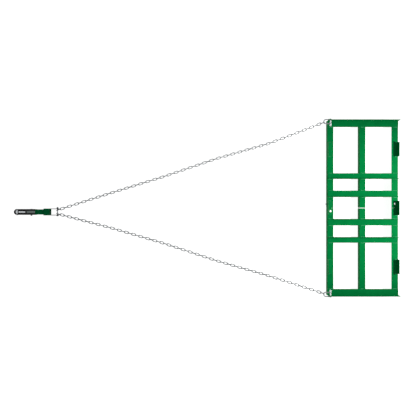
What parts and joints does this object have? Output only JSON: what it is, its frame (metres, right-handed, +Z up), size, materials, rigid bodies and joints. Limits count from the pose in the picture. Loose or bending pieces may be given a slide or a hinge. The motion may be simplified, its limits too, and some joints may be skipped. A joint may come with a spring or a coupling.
{
  "type": "driveway drag",
  "caption": "Towed driveway drag: ladder frame of angle-iron scraper blades in two bolted halves, pulled on a two-chain bridle with a short tongue and a ball coupler.",
  "frame": {"origin": "centre of the footprint on the ground", "axes": "+Z up; the tow direction is -X, so the blades lie at +X; +Y is the right-hand side seen along the tow direction"},
  "size_m": [3.6917, 1.6966, 0.1193],
  "materials": {
    "green_paint": "gloss",
    "black_paint": "satin",
    "zinc_plate": "satin"
  },
  "bodies": {
    "frame": {"front_bar_right": "green_paint", "front_bar_left": "green_paint", "middle_bar_right": "green_paint", "middle_bar_left": "green_paint", "rear_bar_right": "green_paint", "rear_bar_left": "green_paint", "side_rail_right": "green_paint", "side_rail_left": "green_paint", "inner_bar_right": "green_paint", "inner_bar_left": "green_paint", "outer_bar_right": "green_paint", "outer_bar_left": "green_paint", "front_splice": "green_paint", "rear_splice": "green_paint", "front_lug_right": "green_paint", "front_lug_left": "green_paint", "rear_lug_right": "green_paint", "rear_lug_left": "green_paint", "front_strap": "green_paint", "rear_strap": "green_paint", "front_strap_bolt": "zinc_plate", "front_strap_nut": "zinc_plate", "rear_strap_bolt": "zinc_plate", "rear_strap_nut": "zinc_plate"},
    "bridle_1": {"shackle_bow_right": "zinc_plate", "shackle_bow_left": "zinc_plate", "shackle_pin_right": "zinc_plate", "shackle_pin_left": "zinc_plate", "chain_right_1": "zinc_plate", "chain_left_1": "zinc_plate"},
    "bridle_2": {"chain_right_2": "zinc_plate", "chain_left_2": "zinc_plate"},
    "bridle_3": {"chain_right_3": "zinc_plate", "chain_left_3": "zinc_plate"},
    "bridle_4": {"chain_right_4": "zinc_plate", "chain_left_4": "zinc_plate"},
    "bridle_5": {"chain_right_5": "zinc_plate", "chain_left_5": "zinc_plate"},
    "tongue": {"clevis_tab_right": "zinc_plate", "clevis_tab_left": "zinc_plate", "clevis_bolt": "zinc_plate", "clevis_nut": "zinc_plate", "receiver_sleeve": "green_paint", "tongue_tube": "green_paint", "coupler_housing": "black_paint", "coupler_bolt": "zinc_plate", "coupler_nut": "zinc_plate", "latch_pin": "zinc_plate"},
    "lever": {"latch_lever": "zinc_plate", "lever_grip": "black_paint"},
    "clamp": {"ball_clamp": "black_paint", "clamp_bolt": "zinc_plate", "clamp_nut": "zinc_plate"}
  },
  "joints": [
    {"name": "shackle_swing", "type": "hinge", "parent": "frame", "child": "bridle_1", "pos_m": [1.1784, 0, 0.0953], "axis": [0, 1, 0], "range_deg": [-30, 95]},
    {"name": "chain_fold_1", "type": "hinge", "parent": "bridle_1", "child": "bridle_2", "pos_m": [0.61609, 0, 0.0144], "axis": [0, 1, 0], "range_deg": [-45, 45]},
    {"name": "chain_fold_2", "type": "hinge", "parent": "bridle_2", "child": "bridle_3", "pos_m": [0.09586, 0, 0.0144], "axis": [0, 1, 0], "range_deg": [-45, 45]},
    {"name": "chain_fold_3", "type": "hinge", "parent": "bridle_3", "child": "bridle_4", "pos_m": [-0.41036, 0, 0.0144], "axis": [0, 1, 0], "range_deg": [-45, 45]},
    {"name": "chain_fold_4", "type": "hinge", "parent": "bridle_4", "child": "bridle_5", "pos_m": [-0.93058, 0, 0.0144], "axis": [0, 1, 0], "range_deg": [-45, 45]},
    {"name": "tongue_pitch", "type": "hinge", "parent": "bridle_5", "child": "tongue", "pos_m": [-1.434, -0.038, 0.033], "axis": [0, 1, 0], "range_deg": [-45, 45]},
    {"name": "latch_swing", "type": "hinge", "parent": "tongue", "child": "lever", "pos_m": [-1.808, -0.038, 0.0751], "axis": [0, -1, 0], "range_deg": [0, 95]},
    {"name": "clamp_drop", "type": "slide", "parent": "tongue", "child": "clamp", "axis": [0, 0, -1], "range_m": [0, 0.005]}
  ],
  "couplings": [
    {"joint": "clamp_drop", "follows": "latch_swing", "m_per_rad": 0.003}
  ]
}
